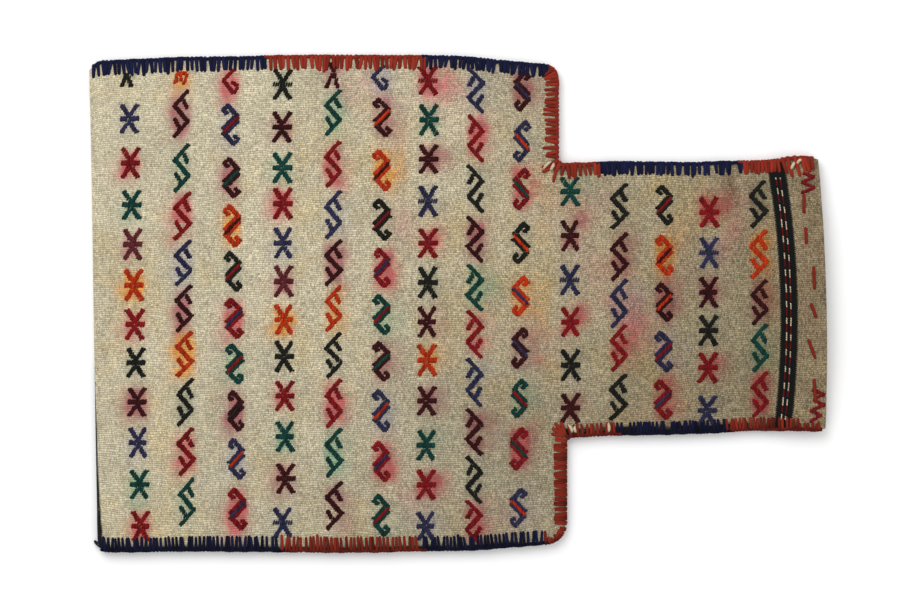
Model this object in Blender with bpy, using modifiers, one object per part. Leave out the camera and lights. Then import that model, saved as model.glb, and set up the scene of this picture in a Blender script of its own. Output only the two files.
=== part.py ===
"""Flat-woven wool bag with a narrow neck, laid flat with its mouth towards +X.

One cloth is folded at the base (-X), so that it makes the front and the back. The front's end is turned in
as a hem at the mouth and tacked down with a running thread. Yarn overcast in navy and rust joins both long
sides. Rows of brocaded figures are woven into the front. Lengths are in metres.
"""

import math

import bmesh
import bpy
from mathutils import Vector
from mathutils.bvhtree import BVHTree

MM = 0.001

# The cloth, as it lies
CLOTH_THICKNESS = 2.5 * MM
BODY_LENGTH = 381 * MM
NECK_LENGTH = 212 * MM
BODY_WIDTH = 398 * MM
NECK_WIDTH = 220 * MM
NECK_SHIFT = 4.5 * MM
HOLLOW_HEIGHT = 13 * MM
SWELL_WIDTH = 80 * MM
FOLD_GAP = 3 * MM
SEAM_GAP = 0.3 * MM
HEM_DEPTH = 20 * MM
HEM_RISE_START = 30 * MM
HEM_RISE_LENGTH = 26 * MM
LAP_GAP = 0.7 * MM

# Corners, and how far the hand-woven edges stray outwards, in mm, at even steps towards the mouth
BASE_CORNER_RADIUS = 8 * MM
FAR_SHOULDER_RADIUS = 11 * MM
NEAR_SHOULDER_RADIUS = 16 * MM
MOUTH_CORNER_RADIUS = 4 * MM
FAR_BODY_SWAY = (-2.7, 0.5, 2.0, 1.5, -5.5)
NEAR_BODY_SWAY = (2.2, 1.5, 2.5, 1.2, -4.3)
FAR_NECK_SWAY = (-1.8, -0.2, -0.9, 0.5, 3.5)
NEAR_NECK_SWAY = (2.3, 0.5, -0.7, -3.3, -3.0)
BASE_SKEW = 3.4 * MM
SHOULDER_SKEW = 3.5 * MM
MOUTH_SKEW = 3.0 * MM
MOUTH_BOW = 2.8 * MM

# Overcast yarn along the sides: each stitch has a leg on the front and one under the back
YARN_THICKNESS = 1.2 * MM
YARN_GAP = 0.3 * MM
STITCH_PITCH = 7.4 * MM
LEG_LENGTH = 8.5 * MM
LEG_ROOT = 3.0 * MM
YARN_END = 6 * MM
LIFT_FADE = (12 * MM, 28 * MM)

# Yarn lengths from the base to the mouth: place, colour and length, where the last takes the rest
FAR_YARNS = (("base", "navy", 138 * MM), ("body", "rust", 128 * MM), ("shoulder", "navy", 100 * MM),
             ("corner", "rust", 118 * MM), ("neck", "navy", 112 * MM), ("mouth", "rust", None))
NEAR_YARNS = (("base", "navy", 142 * MM), ("body", "rust", 113 * MM), ("shoulder", "navy", 95 * MM),
              ("corner", "rust", 138 * MM), ("neck", "navy", 89 * MM), ("mouth", "rust", None))

# Running thread that tacks the hem
THREAD_THICKNESS = 1.2 * MM
THREAD_GAP = 0.35 * MM
THREAD_BEND = 0.8 * MM
HOLE_CLEARANCE = 0.5 * MM

# Ends of its dashes, from the far side: in mm across from the middle of the neck, and in from the mouth
HEM_DASHES = ((81, 14.1, 66, 15.3), (54, 14.7, 41, 14.7), (22, 9.6, 4, 9.6), (-8, 12.4, -19, 8.9),
              (-37, 15.2, -52, 9.9), (-69, 10.6, -88, 9.0))

# Brocaded figures stand a little proud of the ground, and stop short of the overcast legs
FIGURE_HEIGHT = 0.9 * MM
FIGURE_ROOT = 1.2 * MM
FIGURE_MARGIN = 2 * MM
BAND_HEIGHT = 0.5 * MM
BAND_WIDTH = 13.5 * MM
BAND_INSET = 30.2 * MM
BAND_BOW = 5 * MM

# Woven colours, as linear RGB
COLOURS = {
    "ivory": (0.56, 0.47, 0.32),
    "navy": (0.022, 0.030, 0.095),
    "rust": (0.34, 0.058, 0.025),
    "blue": (0.055, 0.050, 0.135),
    "red": (0.37, 0.020, 0.030),
    "green": (0.012, 0.105, 0.080),
    "plum": (0.075, 0.018, 0.024),
    "orange": (0.72, 0.105, 0.010),
    "black": (0.016, 0.020, 0.018),
}
WOOL_ROUGHNESS = 0.9

# Each row of figures lies across the bag: its shape, its x at the far and near side, and its figures as
# colour and y. All places are in mm.
FIGURE_ROWS = (
    ("star", -268, -257, "blue 150 red 114 green 80 plum 48 orange 15 red -17 black -48 plum -80 "
                         "blue -113 green -147 red -181"),
    ("comb", -225, -219, "plum 154 green 110 red 71 blue 33 plum -4 orange -41 black -80 red -120 green -161"),
    ("hook", -185, -178, "red 185 blue 145 plum 102 orange 63 black 26 red -12 green -49 plum -87 "
                         "blue -126 red -167"),
    ("star", -143, -139, "black 178 plum 143 green 110 red 81 blue 49 plum 18 orange -13 black -43 "
                         "red -75 green -108 plum -142 blue -178"),
    ("comb", -101, -100, "green 154 red 112 blue 72 plum 33 orange -4 black -42 red -81 green -121 plum -164"),
    ("hook", -61, -62, "blue 183 plum 151 orange 108 black 68 red 29 green -9 plum -47 blue -87 "
                       "red -128 green -172"),
    ("star", -23, -26, "red 182 green 149 plum 117 blue 83 red 49 black 17 plum -15 orange -46 "
                       "plum -79 green -115 red -147 blue -181"),
    ("mirrored comb", 15, 13, "blue 173 red 134 black 93 plum 52 green 13 red -25 blue -64 plum -104 "
                              "black -143 red -178"),
    ("mirrored hook", 53, 49, "plum 173 blue 132 red 93 black 49 orange 6 plum -36 green -77 red -118 "
                              "blue -166"),
    ("star", 91, 92, "green 91 plum 55 blue 19 red -15 black -50 plum -85"),
    ("comb", 132, 130, "black 79 plum 38 blue 0 red -36 black -76"),
    ("hook", 169, 166, "black 80 orange 39 plum 1 blue -39 red -78"),
    ("star", 205, 202, "red 74 blue 41 plum 9 black -22 red -52 blue -87"),
    ("comb", 243, 247, "black 81 orange 40 plum 1 green -36 red -74"),
)

# Grid lines of the cloth's surface. Lines across the neck run on into the body.
NECK_LINES = (0.0, 0.36, 0.68, 0.9, 1.0)
SIDE_LINES = (0.2, 0.55, 0.85, 1.0)
BODY_STEPS = (9, 24, 50, 90, 145, 205, 260)
SHOULDER_STEPS = (66, 33, 14, 6, 2, 0)
NECK_STEPS = (8, 24, 55, 95, 140)
FOLD_STEPS = 4
HEM_FOLD_STEPS = 4
EDGE_SAMPLES = 48
EDGE_FLARE = 0.5 * MM


def mix(a, b, t):
    return a + (b - a) * t


def ease(t):
    t = min(max(t, 0.0), 1.0)
    return t * t * (3 - 2 * t)


def stray(values, t):
    """A smooth line through evenly spaced values in mm, at t from 0 to 1."""
    place = min(max(t, 0.0), 1.0) * (len(values) - 1)
    i = min(int(place), len(values) - 2)
    return mix(values[i], values[i + 1], ease(place - i)) * MM


def rounding(distance, radius):
    """How far a rounded corner draws the edge in, at a distance from the corner's end."""
    if distance >= radius:
        return 0.0
    return radius - math.sqrt(radius**2 - (radius - max(distance, 0.0)) ** 2)


def edge_reaches(step):
    """y of the near body edge, near neck line, far neck line and far body edge, at a step from the base."""
    along_body = step / BODY_LENGTH
    along_neck = (step - BODY_LENGTH) / NECK_LENGTH
    from_shoulder = BODY_LENGTH - step
    from_mouth = BODY_LENGTH + NECK_LENGTH - step
    base_cut = rounding(step, BASE_CORNER_RADIUS)
    mouth_cut = rounding(from_mouth, MOUTH_CORNER_RADIUS)
    far_body = BODY_WIDTH / 2 + stray(FAR_BODY_SWAY, along_body) - base_cut
    near_body = BODY_WIDTH / 2 + stray(NEAR_BODY_SWAY, along_body) - base_cut
    far_neck = NECK_SHIFT + NECK_WIDTH / 2 + stray(FAR_NECK_SWAY, along_neck) - mouth_cut
    near_neck = NECK_SHIFT - NECK_WIDTH / 2 - stray(NEAR_NECK_SWAY, along_neck) + mouth_cut
    far_body -= rounding(from_shoulder, FAR_SHOULDER_RADIUS)
    near_body -= rounding(from_shoulder, NEAR_SHOULDER_RADIUS)
    return -near_body, near_neck, far_neck, far_body


def plan(step, v):
    """(x, y) of the cloth at a step from the base. v is -2 at the near body edge, -1 and 1 on the neck's
    edges, and 2 at the far body edge."""
    base = -(BODY_LENGTH + NECK_LENGTH) / 2
    across = min(max(v, -1.0), 1.0)
    base_x = base - BASE_SKEW * v / 2
    shoulder_x = base + BODY_LENGTH - SHOULDER_SKEW * across
    mouth_x = base + BODY_LENGTH + NECK_LENGTH - MOUTH_SKEW * across + MOUTH_BOW * (1 - across**2)
    if step <= BODY_LENGTH:
        x = mix(base_x, shoulder_x, step / BODY_LENGTH)
    else:
        x = mix(shoulder_x, mouth_x, (step - BODY_LENGTH) / NECK_LENGTH)
    near_body, near_neck, far_neck, far_body = edge_reaches(step)
    if v > 1:
        y = mix(far_neck, far_body, v - 1)
    elif v < -1:
        y = mix(near_neck, near_body, -v - 1)
    else:
        y = mix(near_neck, far_neck, (v + 1) / 2)
    return Vector((x, y))


def edge_line(first, last, count):
    """Points of the outline between two (step, v) places."""
    return [plan(mix(first[0], last[0], i / count), mix(first[1], last[1], i / count)) for i in range(count + 1)]


def side_edges(side):
    """The sewn edges of one side: body, shoulder and neck. side is 1 for far and -1 for near."""
    shoulder, mouth = BODY_LENGTH, BODY_LENGTH + NECK_LENGTH
    return (
        edge_line((0, 2 * side), (shoulder, 2 * side), EDGE_SAMPLES),
        edge_line((shoulder, 2 * side), (shoulder, side), EDGE_SAMPLES // 4),
        edge_line((shoulder, side), (mouth, side), EDGE_SAMPLES // 2),
    )


SEWN_EDGES = [*side_edges(1), *side_edges(-1)]
BASE_EDGE = edge_line((0, -2), (0, 2), EDGE_SAMPLES)


def distance_to(line, x, y):
    """Distance from a point to a polyline."""
    best = math.inf
    for a, b in zip(line, line[1:]):
        run = b - a
        t = max(0.0, min(1.0, (Vector((x, y)) - a).dot(run) / max(run.length_squared, 1e-12)))
        best = min(best, (a + run * t - Vector((x, y))).length)
    return best


def swell(distance):
    """How full the bag is at a distance from an edge, from 0 to 1."""
    return 1 - (1 - min(distance / SWELL_WIDTH, 1)) ** 2


def back_height(x, y):
    """Middle of the back's thickness: flat on the ground, but lifted by the yarn along the sewn edges."""
    edge = min(distance_to(line, x, y) for line in SEWN_EDGES)
    lift = (YARN_THICKNESS + YARN_GAP + 0.1 * MM) * (1 - ease((edge - LIFT_FADE[0]) / (LIFT_FADE[1] - LIFT_FADE[0])))
    return CLOTH_THICKNESS / 2 + lift


def hollow(x, y, step):
    """Free height between the back and the front."""
    full = 1.0
    for line in SEWN_EDGES:
        full *= swell(distance_to(line, x, y))
    hem_edge = BODY_LENGTH + NECK_LENGTH - HEM_DEPTH
    hem_room = (CLOTH_THICKNESS + LAP_GAP) * ease((step - hem_edge + HEM_RISE_START) / HEM_RISE_LENGTH)
    base = distance_to(BASE_EDGE, x, y)
    height = SEAM_GAP + hem_room + (HOLLOW_HEIGHT - SEAM_GAP - hem_room) * full
    at_fold = min(FOLD_GAP, height)
    return mix(at_fold, height, swell(base))


def front_height(x, y, step):
    """Middle of the front's thickness."""
    return back_height(x, y) + CLOTH_THICKNESS + hollow(x, y, step)


def row_steps():
    """Steps of the rows that the front and the back share, for the body and for the neck."""
    length = BODY_LENGTH + NECK_LENGTH
    body = [s * MM for s in BODY_STEPS] + [BODY_LENGTH - s * MM for s in SHOULDER_STEPS]
    neck = [BODY_LENGTH + s * MM for s in NECK_STEPS]
    return body, [*neck, length - HEM_DEPTH, length - YARN_END]


def sheet_rows():
    """The cloth's rows from the hem's inner edge, over the mouth, front, base fold and back, to its end.
    Each row is its step from the base, its kind, and its turn where it lies in a fold."""
    length = BODY_LENGTH + NECK_LENGTH
    body, neck = row_steps()
    hem = [(s, "hem", 0) for s in neck[-2:]]
    mouth = [(length, "mouth fold", 180 * i / HEM_FOLD_STEPS - 90) for i in range(HEM_FOLD_STEPS + 1)]
    front = [(s, "front", 0) for s in reversed([*body, *neck])]
    fold = [(0, "base fold", 90 - 180 * i / FOLD_STEPS) for i in range(FOLD_STEPS + 1)]
    back = [(s, "back", 0) for s in [*body, *neck, length]]
    return [*hem, *mouth, *front, *fold, *back]


def sheet_point(row, v):
    """Where the middle of the cloth's thickness lies, for a row of sheet_rows and a line v."""
    step, kind, turn = row
    half = CLOTH_THICKNESS / 2
    turn = math.radians(turn)
    if kind == "base fold":
        x, y = plan(half, v)
        radius = half + hollow(x, y, half) / 2
        step = half + radius * (1 - math.cos(turn))
        x, y = plan(step, v)
        return Vector((x, y, back_height(x, y) + radius + radius * math.sin(turn)))
    if kind == "mouth fold":
        radius = half + LAP_GAP / 2
        x, y = plan(step - half - radius * (1 - math.cos(turn)), v)
        edge_x, edge_y = plan(step - half - radius, v)
        top = front_height(edge_x, edge_y, step)
        return Vector((x, y, top - radius + radius * math.sin(turn)))
    x, y = plan(step, v)
    if kind == "back":
        return Vector((x, y, back_height(x, y)))
    top = front_height(x, y, step)
    return Vector((x, y, top - CLOTH_THICKNESS - LAP_GAP if kind == "hem" else top))


def wool(name):
    """A matt wool material in one of the woven colours."""
    material = bpy.data.materials.get(name) or bpy.data.materials.new(name)
    material.use_nodes = True
    material.diffuse_color = (*COLOURS[name], 1)
    shader = material.node_tree.nodes["Principled BSDF"]
    shader.inputs["Base Color"].default_value = (*COLOURS[name], 1)
    shader.inputs["Roughness"].default_value = WOOL_ROUGHNESS
    shader.inputs["Metallic"].default_value = 0
    return material


def new_object(name, mesh, collection, material=None):
    made = bpy.data.objects.new(name, mesh)
    collection.objects.link(made)
    if material:
        mesh.materials.append(material)
    return made


def as_guide(guide):
    guide.hide_render = True
    guide.display_type = "WIRE"
    return guide


def fold_cloth(collection):
    """A flat grid, cut to the T of the body and neck, folded in place and thickened."""
    rows = sheet_rows()
    lines = [-v for v in reversed(NECK_LINES[1:])] + list(NECK_LINES)
    sides = [1 + v for v in SIDE_LINES]
    lines = [-v for v in reversed(sides)] + lines + sides
    bm = bmesh.new()
    bmesh.ops.create_grid(bm, x_segments=len(rows) - 1, y_segments=len(lines) - 1, size=1)
    beyond = []
    for vert in bm.verts:
        row = rows[round((vert.co.x + 1) / 2 * (len(rows) - 1))]
        v = lines[round((vert.co.y + 1) / 2 * (len(lines) - 1))]
        vert.co = sheet_point(row, v)
        if abs(v) > 1.001 and (row[0] > BODY_LENGTH + 1e-6 or row[1] in ("hem", "mouth fold")):
            beyond.append(vert)
    bmesh.ops.delete(bm, geom=beyond, context="VERTS")
    mesh = bpy.data.meshes.new("woven_cloth")
    bm.to_mesh(mesh)
    bm.free()
    cloth = new_object("woven_cloth", mesh, collection, wool("ivory"))
    mesh.shade_smooth()
    wall = cloth.modifiers.new("thickness", "SOLIDIFY")
    wall.thickness = CLOTH_THICKNESS
    wall.offset = 0
    wall.use_even_offset = True
    wall.use_quality_normals = True
    return cloth


def surface_of(cloth):
    """A tree of the cloth's faces as they stand, for seating yarn and figures on it."""
    depsgraph = bpy.context.evaluated_depsgraph_get()
    depsgraph.update()
    return BVHTree.FromObject(cloth, depsgraph)


def top_of(tree, x, y):
    return tree.ray_cast(Vector((x, y, 1)), Vector((0, 0, -1)))[0].z


def underside_of(tree, x, y):
    return tree.ray_cast(Vector((x, y, -1)), Vector((0, 0, 1)))[0].z


def hem_underside(tree, x, y):
    """The hem's lower face, seen from inside the hollow."""
    floor = tree.ray_cast(Vector((x, y, -1)), Vector((0, 0, 1)))[0].z
    inside = floor + CLOTH_THICKNESS + 1 * MM
    return tree.ray_cast(Vector((x, y, inside)), Vector((0, 0, 1)))[0].z


# Outlines of the figures in mm, with x along the bag and y across it
STAR = ((-2.4, 2.2), (-8, 2.2), (-8, -2.2), (-2.4, -2.2), (-7.4, -13.6), (0, -4.4), (7.4, -13.6),
        (2.4, -2.2), (8, -2.2), (8, 2.2), (2.4, 2.2), (7.4, 13.6), (0, 4.4), (-7.4, 13.6))
COMB_HALF = ((7, 19.7), (4.4, 21.7), (-7.4, 6.9), (3.7, -6.9), (0.3, -11), (-5.9, -2), (-2, -13.7))
HOOK_HALF = ((-7, -2), (2, 8.3), (-2.4, 12.2), (-3.2, 5.8), (-7, 12), (-2.5, 17.5), (7, 9.5))


def figure_outline(shape):
    """A figure's outline. The comb and the hook look the same after half a turn."""
    if shape == "star":
        points = list(STAR)
    else:
        half = COMB_HALF if shape.endswith("comb") else HOOK_HALF
        points = [*half, *((-x, -y) for x, y in half)]
    if shape.startswith("mirrored"):
        points = [(-x, y) for x, y in reversed(points)]
    return [Vector((x * MM, y * MM, 0)) for x, y in points]


def drape(bm, outline, limits, tree, height, slot):
    """Adds a flat outline to bm as a thin raised shape that follows the cloth, cut off at y limits."""
    flat = bmesh.new()
    flat.faces.new([flat.verts.new(p) for p in outline])
    for limit, outwards in zip(limits, (-1, 1)):
        everything = [*flat.verts, *flat.edges, *flat.faces]
        bmesh.ops.bisect_plane(flat, geom=everything, plane_co=(0, limit, 0), plane_no=(0, outwards, 0),
                               clear_outer=True)
    bmesh.ops.triangulate(flat, faces=flat.faces[:])
    flat.normal_update()
    ground = {}
    for face in flat.faces:
        corners = []
        for level in (-FIGURE_ROOT, height):
            for vert in face.verts:
                key = (round(vert.co.x, 7), round(vert.co.y, 7), level)
                if key not in ground:
                    z = top_of(tree, vert.co.x, vert.co.y) + level
                    ground[key] = bm.verts.new((vert.co.x, vert.co.y, z))
                corners.append(ground[key])
        low, high = corners[:3], corners[3:]
        rising = face.normal.z > 0
        for ring, upwards in ((low, False), (high, True)):
            made = bm.faces.new(ring if rising == upwards else ring[::-1])
            made.material_index = slot
        for loop in face.loops:
            if not loop.edge.is_boundary:
                continue
            a, b = (list(face.verts).index(v) for v in (loop.vert, loop.link_loop_next.vert))
            wall = [low[a], low[b], high[b], high[a]]
            made = bm.faces.new(wall if rising else wall[::-1])
            made.material_index = slot
    flat.free()


def figure_limits(x, along_neck):
    """The lowest and highest y that a figure may reach at x, clear of the overcast legs."""
    step = x + (BODY_LENGTH + NECK_LENGTH) / 2
    near_body, near_neck, far_neck, far_body = edge_reaches(step)
    low, high = (near_neck, far_neck) if along_neck else (near_body, far_body)
    inset = LEG_LENGTH + FIGURE_MARGIN
    return low + inset, high - inset


def band_outline():
    """The dark woven band across the neck, near the mouth."""
    length = BODY_LENGTH + NECK_LENGTH
    edges = []
    for shift in (0, BAND_WIDTH):
        line = []
        for i in range(9):
            v = mix(-0.86, 0.86, i / 8)
            step = length - BAND_INSET - BAND_BOW * v**2 + shift - BAND_WIDTH / 2
            line.append(plan(step, v).to_3d())
        edges.append(line)
    return [*edges[1], *reversed(edges[0])]


def weave_figures(cloth, guides):
    """Raised brocade, joined to the cloth because it is woven into it."""
    tree = surface_of(cloth)
    names = sorted(COLOURS)
    bm = bmesh.new()
    for shape, far_x, near_x, figures in FIGURE_ROWS:
        words = figures.split()
        for colour, place in zip(words[::2], words[1::2]):
            y = float(place) * MM
            x = mix(near_x, far_x, y / BODY_WIDTH + 0.5) * MM
            shoulder = BODY_LENGTH - (BODY_LENGTH + NECK_LENGTH) / 2
            outline = [p + Vector((x, y, 0)) for p in figure_outline(shape)]
            limits = figure_limits(x, x > shoulder)
            drape(bm, outline, limits, tree, FIGURE_HEIGHT, names.index(colour))
    drape(bm, band_outline(), (-1, 1), tree, BAND_HEIGHT, names.index("black"))
    mesh = bpy.data.meshes.new("brocade")
    bm.to_mesh(mesh)
    bm.free()
    for name in names:
        mesh.materials.append(wool(name))
    brocade = as_guide(new_object("brocade", mesh, guides))
    join = cloth.modifiers.new("brocade", "BOOLEAN")
    join.operation = "UNION"
    join.object = brocade
    join.material_mode = "TRANSFER"
    join.use_self = True
    return tree


def needle_places():
    """(x, y) of each place where the hem thread goes through the cloth, from the far side."""
    places = []
    for dash in HEM_DASHES:
        for across, inset in (dash[:2], dash[2:]):
            step = BODY_LENGTH + NECK_LENGTH - inset * MM
            places.append(plan(step, across * MM / (NECK_WIDTH / 2)))
    return places


def thread_route(tree):
    """The running thread: over the front in dashes, and between them under the hem, inside the bag."""
    off = THREAD_GAP + THREAD_THICKNESS / 2
    places = needle_places()
    points = []
    for i, (x, y) in enumerate(places):
        rising = i % 2 == 0
        before, after = places[max(i - 1, 0)], places[min(i + 1, len(places) - 1)]
        here = Vector((x, y))
        back = (before - here).normalized() if i else here - after
        onward = (after - here).normalized() if i < len(places) - 1 else here - before
        above, below = (onward, back) if rising else (back, onward)
        high = top_of(tree, x, y) + off
        low = hem_underside(tree, x, y) - off
        lower, upper = [], []
        for run, drop in ((1, 0), (0.3, 0.3), (0, 1)):
            lower.append((*(here + below.normalized() * run * THREAD_BEND), low + drop * THREAD_BEND))
            upper.append((*(here + above.normalized() * run * THREAD_BEND), high - drop * THREAD_BEND))
        turn = [*lower, *reversed(upper)] if rising else [*upper, *reversed(lower)]
        points += [Vector(p) for p in turn]
    return points


def lay_hem_thread(cloth, tree, collection, guides):
    """The thread, and the needle holes that it passes through."""
    points = thread_route(tree)
    curve = bpy.data.curves.new("hem_thread", "CURVE")
    curve.dimensions = "3D"
    curve.bevel_depth = THREAD_THICKNESS / 2
    curve.bevel_resolution = 1
    curve.use_fill_caps = True
    spline = curve.splines.new("POLY")
    spline.points.add(len(points) - 1)
    for target, point in zip(spline.points, points):
        target.co = (*point, 1)
    thread = bpy.data.objects.new("hem_thread", curve)
    curve.materials.append(wool("rust"))
    collection.objects.link(thread)

    bm = bmesh.new()
    radius = THREAD_THICKNESS / 2 + HOLE_CLEARANCE
    for x, y in needle_places():
        high, low = top_of(tree, x, y), hem_underside(tree, x, y)
        made = bmesh.ops.create_cone(bm, cap_ends=True, segments=8, radius1=radius, radius2=radius,
                                     depth=high - low + 2 * MM)
        bmesh.ops.translate(bm, verts=made["verts"], vec=(x, y, (high + low) / 2))
    mesh = bpy.data.meshes.new("needle_holes")
    bm.to_mesh(mesh)
    bm.free()
    holes = as_guide(new_object("needle_holes", mesh, guides))
    cut = cloth.modifiers.new("needle holes", "BOOLEAN")
    cut.operation = "DIFFERENCE"
    cut.object = holes


def overcast_path(side):
    """Two stations for each stitch along one sewn side, with one on every corner of the cloth's edge."""
    body, neck = row_steps()
    corners = [plan(s, 2 * side) for s in body] + [plan(s, side) for s in [BODY_LENGTH, *neck]]
    stations = corners[:1]
    for a, b in zip(corners, corners[1:]):
        count = 2 * max(1, round((b - a).length / STITCH_PITCH))
        stations += [a.lerp(b, i / count) for i in range(1, count + 1)]
    return stations


def overcast_section(tree, here, ahead, side, leg):
    """The yarn's section around the cloth's edges: a leg on the front, the wrap, and a leg underneath."""
    inward = Vector((ahead.y, -ahead.x)).normalized() * side
    tip = here + inward * leg
    rim = here + inward * 0.4 * MM
    high, low = top_of(tree, rim.x, rim.y), underside_of(tree, rim.x, rim.y)
    high_tip, low_tip = top_of(tree, tip.x, tip.y), underside_of(tree, tip.x, tip.y)
    inner = here - inward * (EDGE_FLARE + YARN_GAP)
    outer = here - inward * (EDGE_FLARE + YARN_GAP + YARN_THICKNESS)
    taper = 0.3 * YARN_THICKNESS
    return (
        (*tip, high_tip + YARN_GAP + taper),
        (*outer, high + YARN_GAP + 0.7 * YARN_THICKNESS),
        (*outer, low - YARN_GAP - 0.7 * YARN_THICKNESS),
        (*tip, low_tip - YARN_GAP - taper),
        (*inner, low - YARN_GAP),
        (*inner, high + YARN_GAP),
    )


def overcast_yarn(name, tree, stations, first, last, side, collection, material):
    """One length of yarn, lofted through its long and short sections from station first to last."""
    bm = bmesh.new()
    rings = []
    for i in range(first, last + 1):
        before, after = stations[max(i - 1, 0)], stations[min(i + 1, len(stations) - 1)]
        ahead = (after - before).normalized()
        here = stations[i].copy()
        if i == first and first > 0:
            here += ahead * YARN_GAP / 2
        if i == last and last < len(stations) - 1:
            here -= ahead * YARN_GAP / 2
        leg = LEG_LENGTH if i % 2 else LEG_ROOT
        rings.append([bm.verts.new(p) for p in overcast_section(tree, here, ahead, side, leg)])
    for a, b in zip(rings, rings[1:]):
        for k in range(len(a)):
            bm.faces.new((a[k], a[k - 1], b[k - 1], b[k]))
    bm.faces.new(rings[0])
    bm.faces.new(rings[-1][::-1])
    bmesh.ops.recalc_face_normals(bm, faces=bm.faces[:])
    mesh = bpy.data.meshes.new(name)
    bm.to_mesh(mesh)
    bm.free()
    new_object(name, mesh, collection, material)


def overcast_side(tree, side, side_name, yarns, collection):
    stations = overcast_path(side)
    reach, marks = 0.0, [0]
    for _, _, length in yarns[:-1]:
        reach += length
        walked, i = 0.0, 0
        while i < len(stations) - 5 and walked < reach:
            walked += (stations[i + 1] - stations[i]).length
            i += 1
        marks.append(max(2 * round(i / 2), marks[-1] + 2))
    marks.append(len(stations) - 1)
    for (place, colour, _), first, last in zip(yarns, marks, marks[1:]):
        name = f"{colour}_overcast_{side_name}_{place}"
        overcast_yarn(name, tree, stations, first, last, side, collection, wool(colour))


def main():
    for old in list(bpy.data.objects):
        bpy.data.objects.remove(old)
    parts = bpy.data.collections.new("flat-woven bag")
    guides = bpy.data.collections.new("guides")
    for collection in (parts, guides):
        bpy.context.scene.collection.children.link(collection)
    cloth = fold_cloth(parts)
    tree = weave_figures(cloth, guides)
    lay_hem_thread(cloth, tree, parts, guides)
    overcast_side(tree, 1, "far", FAR_YARNS, parts)
    overcast_side(tree, -1, "near", NEAR_YARNS, parts)


main()
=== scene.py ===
"""A flat-woven wool bag with a narrow neck, laid flat and seen from above."""

import math

import bpy
import numpy as np
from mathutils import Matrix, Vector
from mathutils.bvhtree import BVHTree


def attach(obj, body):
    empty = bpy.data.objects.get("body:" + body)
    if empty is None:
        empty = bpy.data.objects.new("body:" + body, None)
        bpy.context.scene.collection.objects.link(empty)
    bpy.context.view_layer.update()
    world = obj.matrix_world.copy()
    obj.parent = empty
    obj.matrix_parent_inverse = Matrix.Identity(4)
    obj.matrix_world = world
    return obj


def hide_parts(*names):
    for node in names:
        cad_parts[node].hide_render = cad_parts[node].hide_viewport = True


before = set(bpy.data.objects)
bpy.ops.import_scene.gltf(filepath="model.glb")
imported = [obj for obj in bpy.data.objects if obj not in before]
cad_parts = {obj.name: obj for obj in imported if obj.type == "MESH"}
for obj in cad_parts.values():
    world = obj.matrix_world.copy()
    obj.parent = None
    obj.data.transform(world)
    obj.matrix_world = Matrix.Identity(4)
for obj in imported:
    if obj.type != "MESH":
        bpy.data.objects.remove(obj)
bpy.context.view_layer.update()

MM = 0.001

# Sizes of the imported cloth, in mm
THICKNESS = 2.5
BODY, NECK = 381.0, 212.0
LENGTH = BODY + NECK
BODY_HALF, NECK_HALF, NECK_SHIFT = 199.0, 110.0, 4.5
HOLLOW, SWELL, FOLD_GAP, SEAM_GAP = 13.0, 80.0, 3.0, 0.3
HEM, LAP = 20.0, 0.7
BASE_ROUND, FAR_BASE_ROUND, FAR_ROUND, NEAR_ROUND, MOUTH_ROUND = 8.0, 12.0, 11.0, 16.0, 4.0
FAR_BODY_SWAY = (-2.7, 0.5, 2.0, 1.5, -5.5)
NEAR_BODY_SWAY = (2.2, 1.5, 2.5, 1.2, -4.3)
FAR_NECK_SWAY = (-1.8, -0.2, -0.9, 0.5, 3.5)
NEAR_NECK_SWAY = (2.3, 0.5, -0.7, -3.3, -3.0)
BASE_SKEW, SHOULDER_SKEW, MOUTH_SKEW, MOUTH_BOW = 3.4, 3.5, 3.0, 2.8
MARGIN_LIFT, LIFT_START, LIFT_END = 1.6, 12.0, 28.0
HEM_RISE_START, HEM_RISE = 30, 26
YARN_START, YARN_END = 3.0, 3.2
BAND_INSET, BAND_BOW, BAND_HALF = 30.2, 5.0, 5.95

# Weave pitch in mm, across the ribs and along them
RIB, PICK = 1.7, 0.8


def ease(t):
    """0 to 1, with a slow start and a slow end."""
    t = np.clip(t, 0, 1)
    return t * t * (3 - 2 * t)


def mix(a, b, t):
    return a + (b - a) * t


def stray(values, t):
    """A value at t from 0 to 1, eased between the given ones."""
    values = np.array(values)
    place = np.clip(t, 0, 1) * (len(values) - 1)
    i = np.minimum(place.astype(int), len(values) - 2)
    return mix(values[i], values[i + 1], ease(place - i))


def rounding(distance, radius):
    """How far a round corner cuts in, at a distance from the corner's end."""
    d = radius - np.clip(distance, 0, radius)
    return radius - np.sqrt(np.maximum(radius**2 - d**2, 0))


def reaches(step):
    """y in mm of the near body edge, near neck line, far neck line and far body edge."""
    along_body, along_neck = step / BODY, (step - BODY) / NECK
    base_cut, far_base_cut = rounding(step, BASE_ROUND), rounding(step, FAR_BASE_ROUND)
    mouth_cut = rounding(LENGTH - step, MOUTH_ROUND)
    far_body = BODY_HALF + stray(FAR_BODY_SWAY, along_body) - far_base_cut - rounding(BODY - step, FAR_ROUND)
    near_body = BODY_HALF + stray(NEAR_BODY_SWAY, along_body) - base_cut - rounding(BODY - step, NEAR_ROUND)
    far_neck = NECK_SHIFT + NECK_HALF + stray(FAR_NECK_SWAY, along_neck) - mouth_cut
    near_neck = NECK_SHIFT - NECK_HALF - stray(NEAR_NECK_SWAY, along_neck) + mouth_cut
    return -near_body, near_neck, far_neck, far_body


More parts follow.
